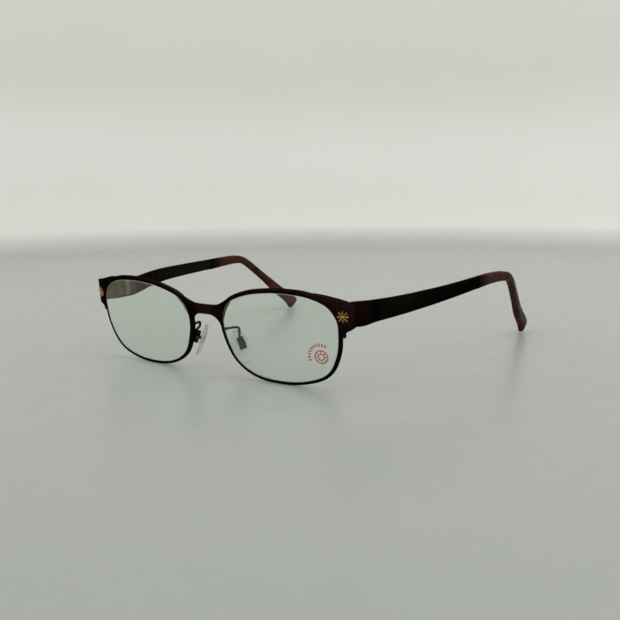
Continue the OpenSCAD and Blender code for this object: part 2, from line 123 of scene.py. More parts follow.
def rounded(corners, radii, segments=4):
    """A closed section with each corner replaced by a small arc."""
    corners = [np.array(c, float) for c in corners]
    n, made = len(corners), []
    for i, p in enumerate(corners):
        if radii[i] == 0:
            made.append(p)
            continue
        start = p + unit(corners[i - 1] - p) * radii[i]
        end = p + unit(corners[(i + 1) % n] - p) * radii[i]
        for k in range(segments + 1):
            t = k / segments
            made.append(start * (1 - t) ** 2 + 2 * p * t * (1 - t) + end * t ** 2)
    return made


# ---- The curved, tilted and wrapped front ----

def outline(t):
    return on_loop(LENS_OUTLINE, t % TURNS)


def outline_way(t):
    return unit(outline(t + 0.02) - outline(t - 0.02))


def outward(t):
    way = outline_way(t)
    return np.array([-way[1], way[0]])


def rim_width(t):
    return on_loop(RIM_WIDTHS, t % TURNS)


def front_local(u, v, d):
    """A point of the front: u outward and v up from the lens's middle, d back from its front surface."""
    w = (u * u + v * v) / (2 * BASE_RADIUS) + d
    y = w * math.cos(TILT) - v * math.sin(TILT)
    z = v * math.cos(TILT) + w * math.sin(TILT)
    return np.array([u * math.cos(WRAP) - y * math.sin(WRAP), u * math.sin(WRAP) + y * math.cos(WRAP), z])


RIM_STEPS = 288


def split_places(steps, half_gap):
    """Parameters round the outline from one side of the rim's split to the other."""
    inner = [SPLIT_AT + TURNS * k / steps for k in range(1, steps)]
    return [SPLIT_AT + half_gap] + inner + [SPLIT_AT + TURNS - half_gap]


def lowest_point():
    low = 0
    for t in split_places(80, 0):
        u, v = outline(t) + outward(t) * rim_width(t)
        low = min(low, front_local(u, v, EDGE_ROUND)[2])
    return low


LENS_Z = -lowest_point()


def front(u, v, d):
    return front_local(u, v, d) + np.array([LENS_X, 0, LENS_Z])


def beside(t, s, d):
    """A point beside the lens outline: s outward from it along the front, d back."""
    u, v = outline(t) + outward(t) * s
    return front(u, v, d)


def on_front(u, v, d):
    """Places a shape whose Z axis points up the front and whose Y axis points into it."""
    return (Matrix.Translation(front(u, v, d)) @ Matrix.Rotation(WRAP, 4, "Z")
            @ Matrix.Rotation(TILT - math.atan(v / BASE_RADIUS), 4, "X")
            @ Matrix.Rotation(math.atan(u / BASE_RADIUS), 4, "Z"))


def from_hinge(x, s, h):
    """A point given across the model, back along the temple from the hinge and up the hinge's axis."""
    return np.array([x, HINGE[1] + s * math.cos(SLOPE) - h * math.sin(SLOPE),
                     HINGE[2] + s * math.sin(SLOPE) + h * math.cos(SLOPE)])


# ---- Shells: (points, faces, tone), where tone runs from 0 to 1 and tints the material ----

def loft(rings, tones=None, closed=False):
    """A skin through closed rings of points. A fan closes each end, unless the path itself closes."""
    n, count = len(rings[0]), len(rings)
    points = [p for ring in rings for p in ring]
    tone = [t for ring in tones for t in ring] if tones is not None else [0.0] * len(points)
    faces = []
    for r in range(count if closed else count - 1):
        a, b = r * n, (r + 1) % count * n
        faces += [(a + i, a + (i + 1) % n, b + (i + 1) % n, b + i) for i in range(n)]
    if not closed:
        for ring, base in ((rings[0], 0), (rings[-1], (count - 1) * n)):
            hub = len(points)
            points.append(sum(ring) / n)
            tone.append(tone[base])
            faces += [(hub, base + (i + 1) % n, base + i) for i in range(n)]
    return points, faces, tone


def capped(rings, share=0.82, depth=0.18):
    """The same rings with a slightly smaller ring beyond each end, so that the ends are rounded over."""
    made = list(rings)
    for end, inner, place in ((0, 1, 0), (-1, -2, len(rings) + 1)):
        middle = sum(rings[end]) / len(rings[end])
        before = sum(rings[inner]) / len(rings[inner])
        way = unit(middle - before) * depth
        made.insert(place, [middle + (p - middle) * share + way for p in rings[end]])
    return made


def lathe(profile, place, segments, tone):
    """A solid turned round the Z axis of place, from (radius, height) pairs that start and end on it."""
    inner = profile[1:-1]
    angles = [2 * math.pi * k / segments for k in range(segments)]
    rings = [[np.array(place @ Vector((r * math.cos(a), r * math.sin(a), z))) for a in angles]
             for r, z in inner]
    points, faces, tones = loft(rings, [[tone] * segments] * len(inner))
    points[len(inner) * segments] = np.array(place @ Vector((0, 0, profile[0][1])))
    points[len(inner) * segments + 1] = np.array(place @ Vector((0, 0, profile[-1][1])))
    return points, faces, tones


def bead(place, rx, ry, rz, segments, rings, tone=0.0):
    """An ellipsoid with its middle at the origin of place."""
    angles = [math.pi * (k / (rings + 1) - 0.5) for k in range(rings + 2)]
    profile = [(math.cos(a), math.sin(a)) for a in angles]
    squash = place @ Matrix.Diagonal((rx, ry, rz, 1))
    return lathe(profile, squash, segments, tone)


def tube(line, radii):
    """A round wire along a line of points, with a radius at each."""
    segments = 14
    rings = []
    across = None
    for k, p in enumerate(line):
        way = unit(line[min(k + 1, len(line) - 1)] - line[max(k - 1, 0)])
        if across is None:
            across = unit(np.cross(way, (1, 0.3, 0)))
        across = unit(across - way * np.dot(across, way))
        up = np.cross(way, across)
        angles = [2 * math.pi * i / segments for i in range(segments)]
        rings.append([p + (across * math.cos(a) + up * math.sin(a)) * radii[k] for a in angles])
    return loft(capped(rings, 0.6, 0.12))


def oval(upper, lower, side, width, square, count):
    """An oval section between an upper and a lower point, with its own side direction and width."""
    middle, half = (upper + lower) / 2, (upper - lower) / 2
    ring = []
    for i in range(count):
        a = -2 * math.pi * i / count
        x, z = math.cos(a), math.sin(a)
        across = math.copysign(abs(x) ** square, x) * width / 2
        ring.append(middle + side * across + half * math.copysign(abs(z) ** square, z))
    return ring


# ---- Pieces ----

def finish_mesh(mesh, sharp_angle):
    """Points the faces outward and shades them smooth, apart from edges sharper than the angle."""
    work = bmesh.new()
    work.from_mesh(mesh)
    bmesh.ops.recalc_face_normals(work, faces=work.faces)
    work.to_mesh(mesh)
    work.free()
    mesh.polygons.foreach_set("use_smooth", [True] * len(mesh.polygons))
    mesh.set_sharp_from_angle(angle=math.radians(sharp_angle))


def add_piece(name, side, shells, material, body, nodes=(), sharp=40):
    """Joins shells into one object that rides on a body and stands for CAD nodes."""
    points, faces, tones = [], [], []
    for shell in shells:
        base = len(points)
        points += [((p[0] * side) * MM, (p[1] - FRONT_SHIFT) * MM, p[2] * MM) for p in shell[0]]
        faces += [tuple(base + i for i in f) for f in shell[1]]
        tones += list(shell[2])
    mesh = bpy.data.meshes.new(name)
    mesh.from_pydata(points, [], faces)
    mesh.attributes.new("tone", "FLOAT", "POINT").data.foreach_set("value", np.array(tones, np.float32))
    finish_mesh(mesh, sharp)
    return place_piece(name, mesh, material, body, nodes)


def place_piece(name, mesh, material, body, nodes):
    """Puts a mesh in the scene with its material, its body and the CAD nodes that it stands for."""
    piece = bpy.data.objects.new(name, mesh)
    bpy.context.scene.collection.objects.link(piece)
    piece.data.materials.clear()
    piece.data.materials.append(material)
    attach(piece, body)
    if nodes:
        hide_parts(*nodes)
    return piece


# The knuckles' radius with a little over, and how fast the leaves' tone sets in beyond it
KNUCKLE_R, KNUCKLE_BLEND = 1.3, 0.2


def hinge_tone(p):
    """0 on the knuckles and screw, 1 on the leaves, which are lacquered over."""
    y, z = p[1] / MM + FRONT_SHIFT - HINGE[1], p[2] / MM - HINGE[2]
    off = math.hypot(abs(p[0]) / MM - HINGE[0], y * math.cos(SLOPE) + z * math.sin(SLOPE))
    return min(1.0, max(0.0, (off - KNUCKLE_R) / KNUCKLE_BLEND))


BROKEN_EDGE = 0.07
# In metres
WELD = 2e-6


def refined(node, material, body):
    """A small machined part: the CAD node's own shape with welded faces and broken edges."""
    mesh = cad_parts[node].data.copy()
    work = bmesh.new()
    work.from_mesh(mesh)
    bmesh.ops.remove_doubles(work, verts=work.verts, dist=WELD)
    bmesh.ops.dissolve_limit(work, angle_limit=math.radians(1), verts=work.verts, edges=work.edges)
    edges = [e for e in work.edges if len(e.link_faces) == 2 and e.calc_face_angle() > math.radians(32)]
    bmesh.ops.bevel(work, geom=edges, offset=BROKEN_EDGE * MM, segments=2, profile=0.5,
                    affect="EDGES", clamp_overlap=True)
    work.to_mesh(mesh)
    work.free()
    tones = [hinge_tone(v.co) if "hinge" in node else 0.0 for v in mesh.vertices]
    mesh.attributes.new("tone", "FLOAT", "POINT").data.foreach_set("value", np.array(tones, np.float32))
    finish_mesh(mesh, 38)
    return place_piece(f"{node}_detail", mesh, material, body, (node,))


# ---- Materials ----

class Finish:
    """One Principled material and short helpers for the nodes that feed it."""

    def __init__(self, name, **sockets):
        self.material = bpy.data.materials.new(name)
        self.material.use_nodes = True
        tree = self.material.node_tree
        tree.nodes.clear()
        self.nodes, self.links = tree.nodes, tree.links
        self.output = self.nodes.new("ShaderNodeOutputMaterial")
        self.shader = self.nodes.new("ShaderNodeBsdfPrincipled")
        self.links.new(self.shader.outputs[0], self.output.inputs["Surface"])
        for socket, value in sockets.items():
            self.shader.inputs[socket.replace("_", " ")].default_value = value
        self.place = self.nodes.new("ShaderNodeTexCoord").outputs["Object"]

    def feed(self, socket, value):
        self.links.new(value, self.shader.inputs[socket])

    def stretched(self, scale):
        node = self.nodes.new("ShaderNodeMapping")
        node.inputs["Scale"].default_value = scale
        self.links.new(self.place, node.inputs["Vector"])
        return node.outputs["Vector"]

    def noise(self, size, detail=3.0, stretch=None):
        """Noise whose features are about size millimetres across."""
        node = self.nodes.new("ShaderNodeTexNoise")
        node.inputs["Scale"].default_value = 1 / (size * MM)
        node.inputs["Detail"].default_value = detail
        self.links.new(self.stretched(stretch) if stretch else self.place, node.inputs["Vector"])
        return node.outputs["Fac"]

    def spread(self, value, low, high, start=0.3, end=0.7):
        """Maps start to end of a value onto low to high."""
        node = self.nodes.new("ShaderNodeMapRange")
        node.inputs["From Min"].default_value = start
        node.inputs["From Max"].default_value = end
        node.inputs["To Min"].default_value = low
        node.inputs["To Max"].default_value = high
        self.links.new(value, node.inputs["Value"])
        return node.outputs["Result"]

    def blend(self, factor, a, b):
        """Mixes two colours, each a fixed colour or a node's output."""
        node = self.nodes.new("ShaderNodeMix")
        node.data_type = "RGBA"
        self.links.new(factor, node.inputs["Factor"])
        for index, colour in ((6, a), (7, b)):
            if isinstance(colour, tuple):
                node.inputs[index].default_value = (*colour, 1)
            else:
                self.links.new(colour, node.inputs[index])
        return node.outputs[2]

    def add(self, a, b):
        node = self.nodes.new("ShaderNodeMath")
        node.operation = "ADD"
        node.use_clamp = True
        self.links.new(a, node.inputs[0])
        self.links.new(b, node.inputs[1])
        return node.outputs[0]

    def tone(self):
        node = self.nodes.new("ShaderNodeAttribute")
        node.attribute_name = "tone"
        return node.outputs["Fac"]

    def facing(self):
        """0 where the surface faces the eye, 1 where it turns away."""
        return self.nodes.new("ShaderNodeLayerWeight").outputs["Facing"]

    def bump(self, height, depth, strength=1.0):
        """Relief of depth millimetres."""
        node = self.nodes.new("ShaderNodeBump")
        node.inputs["Strength"].default_value = strength
        node.inputs["Distance"].default_value = depth * MM
        self.links.new(height, node.inputs["Height"])
        self.feed("Normal", node.outputs["Normal"])

    def clear_shadow(self, colour):
        """Lets light through to what lies in the shadow of a clear part."""
        through = self.nodes.new("ShaderNodeBsdfTransparent")
        through.inputs["Color"].default_value = (*colour, 1)
        path = self.nodes.new("ShaderNodeLightPath")
        mix = self.nodes.new("ShaderNodeMixShader")
        self.links.new(path.outputs["Is Shadow Ray"], mix.inputs["Fac"])
        self.links.new(self.shader.outputs[0], mix.inputs[1])
        self.links.new(through.outputs[0], mix.inputs[2])
        self.links.new(mix.outputs[0], self.output.inputs["Surface"])


def lacquer(name, dark, warm, roughness, edge=(0.3, 0.22, 0.18)):
    """Satin lacquer over metal: warmer where tone is high, with fine flake and a slight orange peel."""
    made = Finish(name, Metallic=0.95, Specular_IOR_Level=0.1, Specular_Tint=(*edge, 1))
    cloud = made.spread(made.noise(4.0, 4.0), 0.0, 0.2)
    # On the rim, bridge and end pieces, tone carries painted highlights and painted shade.
    base = made.blend(made.add(made.tone(), cloud), dark, warm)
    flake = made.spread(made.noise(0.12, 1.0), 0.0, 0.3, 0.5, 0.75)
    lighter = tuple(c * 1.8 + 0.002 for c in warm)
    made.feed("Base Color", made.blend(flake, base, lighter))
    made.feed("Roughness", made.spread(made.noise(1.6, 4.0), roughness - 0.05, roughness + 0.06))
    made.bump(made.noise(0.35, 2.0), 0.006, 0.5)
    return made.material


def bare_metal(name, clean, stained, roughness, stretch=(1, 1, 1), grain=0.3):
    """Turned or drawn metal: fine grain, clouded tarnish and darker hollows where tone is high."""
    made = Finish(name, Metallic=1.0)
    tarnish = made.spread(made.noise(1.4, 5.0), 0.0, 0.75, 0.4, 0.7)
    made.feed("Base Color", made.blend(made.add(made.tone(), tarnish), clean, stained))
    made.feed("Roughness", made.spread(made.noise(0.6, 4.0), roughness - 0.06, roughness + 0.1))
    made.bump(made.noise(grain, 3.0, stretch), 0.01, 0.5)
    return made.material


def cellulose():
    """Polished translucent acetate in long soft streaks, dark at the mouth, where the metal shows."""
    made = Finish("tip_acetate", Subsurface_Weight=0.1,
                  Subsurface_Radius=(0.0026, 0.0008, 0.0005), Subsurface_Scale=1.0)
    streak = made.noise(3.2, 3.0, (1.6, 0.35, 0.8))
    streaked = made.spread(streak, 0, 1, 0.35, 0.68)
    colour = made.blend(streaked, (0.04, 0.0128, 0.0075), (0.068, 0.0275, 0.019))
    made.feed("Base Color", made.blend(made.tone(), colour, (0.0042, 0.003, 0.0022)))
    made.feed("Specular IOR Level", made.spread(made.tone(), 0.025, 0.002, 0, 1))
    made.feed("Roughness", made.spread(made.noise(2.0, 3.0), 0.24, 0.34))
    made.bump(made.noise(1.1, 2.0), 0.012, 0.35)
    return made.material


def pad_plastic():
    """Clear soft plastic, faintly clouded, with painted grey shade where its surface turns away from the eye.
    """
    made = Finish("pad_clear", IOR=1.49, Transmission_Weight=0.74, Coat_Weight=1.0, Coat_Roughness=0.03)
    cloudy = made.blend(made.noise(1.5, 3.0), (0.97, 0.99, 0.98), (0.86, 0.92, 0.9))
    # Painted shade: the base colour turns grey where the surface turns away from the eye.
    turned = made.spread(made.facing(), 0, 1, 0.4, 0.9)
    made.feed("Base Color", made.blend(turned, cloudy, (0.3, 0.32, 0.31)))
    made.feed("Roughness", made.spread(made.noise(0.9, 3.0), 0.02, 0.06))
    made.bump(made.noise(2.2, 1.0), 0.006, 0.4)
    made.clear_shadow((0.86, 0.9, 0.89))
    return made.material


def lens_glass():
    """Clear lens with a thin antireflection film, which passes a little more green."""
    made = Finish("lens_clear", Roughness=0.0, IOR=1.6, Transmission_Weight=1.0,
                  Thin_Film_Thickness=290.0, Thin_Film_IOR=1.38)
    made.feed("Base Color", made.blend(made.noise(30.0, 1.0), (0.84, 0.92, 0.86), (0.87, 0.92, 0.89)))
    made.clear_shadow((0.85, 0.9, 0.87))
    return made.material


def ground_edge():
    """The lens's ground bevel: painted shade, near black, next to the rim where it sits in the groove; pale
    and finely scratched at its chamfers.
    """
    made = Finish("lens_bevel")
    pale = made.blend(made.noise(0.5, 4.0), (0.62, 0.66, 0.62), (0.86, 0.89, 0.86))
    # Painted shade: where tone is high the pale bevel turns near black.
    shaded = made.spread(made.tone(), 0, 1, 0.7, 0.9)
    made.feed("Base Color", made.blend(shaded, pale, (0.012, 0.009, 0.007)))
    made.feed("Roughness", made.spread(made.noise(0.2, 3.0), 0.35, 0.6))
    made.bump(made.noise(0.12, 2.0), 0.01, 0.6)
    return made.material


def print_ink():
    """Thin matt red ink."""
    made = Finish("print_ink")
    made.feed("Base Color", made.blend(made.noise(0.3, 4.0), (0.5, 0.09, 0.05), (0.66, 0.2, 0.14)))
    made.feed("Roughness", made.spread(made.noise(0.4, 3.0), 0.4, 0.6))
    return made.material


def pale_floor():
    """A satin floor, slightly green and a little darker than the wall that it curves up into."""
    made = Finish("pale_floor", Specular_IOR_Level=0.5)
    height = made.nodes.new("ShaderNodeSeparateXYZ")
    made.links.new(made.place, height.inputs[0])
    level = made.blend(made.noise(60.0, 5.0), (0.375, 0.4, 0.378), (0.415, 0.435, 0.413))
    wall = made.blend(made.noise(90.0, 3.0), (0.8, 0.795, 0.76), (0.83, 0.82, 0.79))
    risen = made.spread(height.outputs["Z"], 0, 1, 0.0, 0.02)
    made.feed("Base Color", made.blend(risen, level, wall))
    made.feed("Roughness", made.spread(made.noise(8.0, 5.0), 0.28, 0.36))
    return made.material


FRONT_METAL = lacquer("front_lacquer", (0.0036, 0.003, 0.002), (0.024, 0.0112, 0.0093), 0.38)
TEMPLE_METAL = lacquer("temple_lacquer", (0.0018, 0.0018, 0.0015), (0.0135, 0.0135, 0.011), 0.42)
PAD_METAL = lacquer("pad_plating", (0.011, 0.006, 0.005), (0.036, 0.022, 0.019), 0.28, (0.4, 0.32, 0.29))
BRASS = bare_metal("hinge_brass", (0.26, 0.23, 0.115), (0.03, 0.027, 0.018), 0.34)
STEEL = bare_metal("screw_steel", (0.3, 0.28, 0.24), (0.1, 0.085, 0.065), 0.3)
CORE = bare_metal("core_steel", (0.4, 0.36, 0.3), (0.16, 0.13, 0.1), 0.35, (1, 0.1, 1))
GOLD = bare_metal("rosette_gold", (0.66, 0.46, 0.13), (0.035, 0.022, 0.008), 0.26, grain=0.2)
ACETATE = cellulose()
PAD_CLEAR = pad_plastic()
LENS = lens_glass()
LENS_EDGE = ground_edge()
INK = print_ink()

# ---- Rims and lenses ----

MID = RIM_DEPTH / 2
LENS_FRONT = (RIM_DEPTH - LENS_THICKNESS) / 2
INK_DEPTH = 0.02


def rim():
    """A grooved wire round the lens, open by the split at its lock, with a painted highlight warming its
    outer edge where it faces up.
    """
    half_gap = SPLIT_GAP / 2 / np.linalg.norm(outline(SPLIT_AT + 0.5) - outline(SPLIT_AT - 0.5))
    rings, tones = [], []
    for t in split_places(RIM_STEPS, half_gap):
        width = rim_width(t)
        corners = [(0, 0), (width, 0), (width, RIM_DEPTH), (0, RIM_DEPTH),
                   (0, MID + GROOVE_HALF), (GROOVE, MID), (0, MID - GROOVE_HALF)]
        section = rounded(corners, (INNER_ROUND, EDGE_ROUND, EDGE_ROUND, INNER_ROUND, 0, 0, 0), 5)
        # Painted highlight: the tone warms the outer edge in step with how much it faces up.
        top_highlight = max(outward(t)[1], 0)
        rings.append([beside(t, s, d) for s, d in section])
        tones.append([max(0, (s - width + EDGE_ROUND) / EDGE_ROUND) * top_highlight for s, d in section])
    return loft(rings, tones)


def lens():
    """Rings from the middle of the front face, over the ground bevel, to the middle of the back face."""
    back_face = LENS_FRONT + LENS_THICKNESS
    bevel = GROOVE_HALF - LENS_PLAY - 0.03
    rim_line, bevel_top, chamfer = -0.22, GROOVE - 1.6 * LENS_PLAY, 0.1
    shares = (0.01, 0.1, 0.22, 0.35, 0.48, 0.6, 0.72, 0.83, 0.92, 0.97, 1.0)
    # Each ring is its share of the outline, how far it lies outside the line, its depth and its tone
    face = [(share, rim_line, LENS_FRONT, 0) for share in shares]
    # The bevel's rings take a high tone, which paints them with the shade of the rim's groove.
    edge = [(1, -LENS_PLAY, LENS_FRONT + chamfer, 1), (1, -LENS_PLAY, MID - bevel, 1),
            (1, bevel_top, MID, 1), (1, -LENS_PLAY, MID + bevel, 1),
            (1, -LENS_PLAY, back_face - chamfer, 0.9)]
    back = [(share, s, back_face, tone) for share, s, d, tone in reversed(face)]
    rings, tones = [], []
    for share, s, d, tone in face + edge + back:
        ring = []
        for k in range(RIM_STEPS):
            t = SPLIT_AT + TURNS * k / RIM_STEPS
            u, v = (outline(t) + outward(t) * s) * share
            ring.append(front(u, v, d))
        rings.append(ring)
        tones.append([tone] * RIM_STEPS)
    return loft(rings, tones)


def ground_faces(piece):
    """Gives the faces round the lens's edge the ground finish."""
    piece.data.materials.append(LENS_EDGE)
    tone = piece.data.attributes["tone"].data
    for face in piece.data.polygons:
        if any(tone[i].value > 0.5 for i in face.vertices):
            face.material_index = 1


# The printed mark: its middle on the lens, and its rings as radius and line width
MARK_U, MARK_V = 18.1, -4.3
MARK_RINGS = ((2.5, 0.5), (1.2, 0.42))
MARK_STEPS = 48


def on_mark(radius, angle):
    """A point of the printed mark on the lens, as u and v."""
    a = math.radians(angle)
    return np.array([MARK_U + radius * math.cos(a), MARK_V + radius * math.sin(a)])


def ink_line(points, width, closed=False):
    """A thin printed line on the lens's front face."""
    rings = []
    for k, p in enumerate(points):
        ahead = points[(k + 1) % len(points)] if closed else points[min(k + 1, len(points) - 1)]
        behind = points[k - 1] if closed else points[max(k - 1, 0)]
        way = unit(ahead - behind)
        side = np.array([-way[1], way[0]]) * width / 2
        rings.append([front(*(p + side), LENS_FRONT), front(*(p - side), LENS_FRONT),
                      front(*(p - side), LENS_FRONT - INK_DEPTH), front(*(p + side), LENS_FRONT - INK_DEPTH)])
    return loft(rings, closed=closed)


def fitting_mark():
    """A generic printed mark: two rings joined by spokes, and a dashed arc beyond them."""
    shells = [ink_line([on_mark(radius, 360 * k / MARK_STEPS) for k in range(MARK_STEPS)], width, closed=True)
              for radius, width in MARK_RINGS]
    # Angle, inner and outer radius, width
    spokes = [(45 * k, MARK_RINGS[1][0], MARK_RINGS[0][0], 0.36) for k in range(8)]
    dashes = [(66 + 14.5 * k, 4.1, 5.4, 0.6) for k in range(10)]
    for angle, inner, outer, width in spokes + dashes:
        shells.append(ink_line([on_mark(inner, angle), on_mark(outer, angle)], width))
    return shells


# ---- Bridge ----

BRIDGE_TOP, BRIDGE_BOTTOM = 28.4, 24.55
BRIDGE_BACK = np.array([0, 1.3, 0.2])
NECK = 5.2
# The rounding of the sheet's edges, on the bridge and the end pieces
SHEET_ROUND = 0.28
# Where the bridge's upper, middle and lower lines meet the rim, as parameters of the outline
MEETS = (9.5, 8.7, 7.6)


def bridge_stations():
    """Half of the bridge, from its middle to the rim: upper, middle and lower points of its front face."""
    top, bottom = BRIDGE_TOP, BRIDGE_BOTTOM
    near = [beside(t, s, PROUD) for t, s in zip(MEETS, (1.3, 1.7, 1.3))]
    near[0] = near[0] + np.array([-2, 0, -0.9])
    return np.array([
        [(0, -0.55, top), (0, -0.37, 26.5), (0, -0.2, bottom)],
        [(3, -0.5, top), (3, -0.35, 26.45), (3, -0.15, bottom - 0.1)],
        [(NECK, -0.45, top + 0.15), (NECK, -0.25, 26.2), (NECK, 0, bottom - 0.85)],
        [(7.6, -0.45, top + 0.75), (7, -0.1, 25.5), (6.9, 0.35, bottom - 2.4)],
        near,
        [beside(t, s, PROUD) for t, s in zip(MEETS, (1.15, 1.3, 1.15))],
    ])


def bridge():
    """The bridge's band, with a painted warm highlight at its middle and along its top edge."""
    stations = bridge_stations()
    steps, across = 60, 8
    half, tones = [], []
    for k in range(steps + 1):
        upper, middle, lower = on_path(stations, k * (len(stations) - 1) / steps)
        face = along([lower, middle, upper], across)
        back = [p + BRIDGE_BACK for p in reversed(face)]
        between = [0] * (across - 1)
        radii = [SHEET_ROUND] + between + [SHEET_ROUND, SHEET_ROUND] + between + [SHEET_ROUND]
        ring = rounded(face + back, radii)
        half.append(ring)
        # Painted highlight: the tone is warm at the band's middle and along its top edge.
        middle_highlight = max(0.0, 1 - (abs(middle[0]) / NECK) ** 2)
        tones.append([0.04 + 0.75 * middle_highlight + 0.25 * (p[2] > upper[2] - 0.2) for p in ring])
    mirror = np.array([-1, 1, 1])
    rings = [[p * mirror for p in ring] for ring in reversed(half[1:])] + half
    return loft(rings, tones[:0:-1] + tones)


# ---- End pieces ----

# Sections of the flared plate, each its upper and its lower u and v, the lower ones on the rim
FLARE = [
    [(13.5, 19.35), (13.5, 18.7)],
    [(17.5, 19.2), (17.7, 17.3)],
    [(21.3, 18.6), (22.1, 15.05)],
    [(24.4, 17.85), (25.3, 11.25)],
    [(25.7, 17.55), (26.1, 8.3)],
    [(26.6, 17.3), (26.4, 5.6)],
    [(27.8, 16.95), (27.6, 4.9)],
    [(29.2, 16.5), (29.3, 5.9)],
]
CORNER_TOP, CORNER_LOW = 34.15, 24.9
# The place on the front from which the corner's depth is taken
CORNER_U, CORNER_LOW_V = 29.5, 7.5
# How far the return's lower edge sags between the corner and the joint
RETURN_SAG = 0.35
# Heights of the joint's corners above and below the hinge's middle
JOINT_UP, JOINT_DOWN = 4.2, 4.4
# How much smaller the two faces of the joint are than the sections next to them
JOINT_FACE = np.array([0.86, 1, 0.975])
# Tones of the end piece: the top's warmth is a painted highlight, and the darker back and return are painted
# shade.
PLATE_TONE, BACK_SHADE_TONE, TOP_HIGHLIGHT_TONE, RETURN_SHADE_TONE = 0.2, 0.1, 0.8, 0.12
# The corner's painted highlight, a pale streak: its strength, and its place and width in degrees round the
# corner
CORNER_HIGHLIGHT, HIGHLIGHT_AT, HIGHLIGHT_WIDTH = 0.8, 14, 9


def eased_end(ring):
    """A section that faces the joint, drawn in a little so that its edge is not sharp."""
    middle = sum(ring) / len(ring)
    return [middle + (p - middle) * JOINT_FACE for p in ring]


def end_piece():
    """A flared plate on the rim, the corner that it bends round, and the return to the joint."""
    sections, tones = [], []
    per_corner = 6

    def add(low, low_back, top_back, top, face_tone):
        """A section from its corners, with the tone of its front; the back is darker with painted shade, the
        top warmer with a painted highlight.
        """
        sections.append(rounded([low, low_back, top_back, top], (SHEET_ROUND,) * 4, per_corner - 1))
        tones.append([face_tone] * per_corner + [BACK_SHADE_TONE] * 2 * per_corner
                     + [max(face_tone, TOP_HIGHLIGHT_TONE)] * per_corner)

    for (ua, va), (ub, vb) in along(FLARE, 84):
        add(front(ub, vb, PROUD), front(ub, vb, SHEET), front(ua, va, SHEET), front(ua, va, PROUD),
            PLATE_TONE)

    corner_x = HALF_FRONT - CORNER_R
    (top_u, top_v), (low_u, low_v) = FLARE[-1]
    top_y = front(CORNER_U, top_v, PROUD)[1] + CORNER_R + 0.1
    low_y = front(CORNER_U, CORNER_LOW_V, PROUD)[1] + CORNER_R + 0.1
    from_top, from_low = front(top_u, top_v, 0)[2], front(low_u, low_v, 0)[2]
    for a in range(6, 91, 4):
        way = np.array([math.sin(math.radians(a)), -math.cos(math.radians(a)), 0])
        top = np.array([corner_x, top_y, lerp(from_top, CORNER_TOP, a / 90)])
        low = np.array([corner_x, low_y, lerp(from_low, CORNER_LOW, a / 90)])
        inner = way * (CORNER_R - SHEET)
        outer = way * CORNER_R
        # The streak is a painted highlight round the corner; the tone falls from the plate's tone to the
        # return's painted shade.
        streak = CORNER_HIGHLIGHT * math.exp(-((a - HIGHLIGHT_AT) / HIGHLIGHT_WIDTH) ** 2)
        add(low + outer, low + inner, top + inner, top + outer,
            streak + lerp(PLATE_TONE, RETURN_SHADE_TONE, a / 90))

    start_top = np.array([HALF_FRONT, top_y, CORNER_TOP])
    start_low = np.array([HALF_FRONT, low_y, CORNER_LOW])
    joint_top = from_hinge(BLADE_OUTER, -JOINT_GAP / 2, JOINT_UP)
    joint_low = from_hinge(BLADE_OUTER, -JOINT_GAP / 2, -JOINT_DOWN)
    inward = np.array([-SHEET, 0, 0])
    steps = 20
    for k in range(1, steps + 1):
        top = lerp(start_top, joint_top, k / steps)
        sag = np.array([0, 0, RETURN_SAG * math.sin(math.pi * k / steps)])
        low = lerp(start_low, joint_low, k / steps) - sag
        add(low, low + inward, top + inward, top, RETURN_SHADE_TONE)
    sections[-1] = eased_end(sections[-1])
    return loft(sections, tones)


# ---- Rosettes ----

ROSETTE = (27.9, 11.4, -0.05)
PETALS = 8


def rosette():
    """A generic flower on a dark disc: slim petals with a bead beyond each, and a domed middle in beads."""
    place = on_front(*ROSETTE) @ Matrix.Rotation(math.pi / 2, 4, "X")
    disc = [(0, -0.1), (2.0, -0.1), (2.1, 0.1), (2.1, 0.2), (2.02, 0.3), (1.9, 0.33), (0.9, 0.3), (0, 0.3)]
    shells = [lathe(disc, place, 64, 1.0)]
    for i in range(PETALS):
        turn = place @ Matrix.Rotation(2 * math.pi * i / PETALS, 4, "Z")
        shells.append(bead(turn @ Matrix.Translation((1.3, 0, 0.4)), 0.6, 0.3, 0.36, 20, 9))
        shells.append(bead(turn @ Matrix.Translation((2.02, 0, 0.42)), 0.24, 0.3, 0.28, 14, 7, 0.15))
        between = turn @ Matrix.Rotation(math.pi / PETALS, 4, "Z")
        shells.append(bead(between @ Matrix.Translation((0.78, 0, 0.62)), 0.13, 0.13, 0.16, 10, 5))
    shells.append(bead(place @ Matrix.Translation((0, 0, 0.6)), 0.56, 0.56, 0.42, 24, 9))
    return shells


# ---- Temples, tips and core wires ----

# Back from the hinge: distance, outer face's x, height above, depth below
BLADE = [
    (JOINT_GAP, BLADE_OUTER, JOINT_UP, JOINT_DOWN),
    (5.2, 66.9, 3.7, 4.5),
    (12.5, 69.2, 3.45, 4.15),
    (20.5, 72, 3.5, 3.55),
    (32.5, 74.9, 3.5, 2.9),
    (44.5, 76.2, 3.2, 2.7),
    (58.5, 76.9, 2.85, 2.65),
    (BLADE_LENGTH, BLADE_END_X, 2.55, 2.7),
]
BLADE_ROUND = 0.3
TIP_END = 133.1
TIP_END_LOW = -(HINGE[2] + TIP_END * math.sin(SLOPE)) / math.cos(SLOPE)
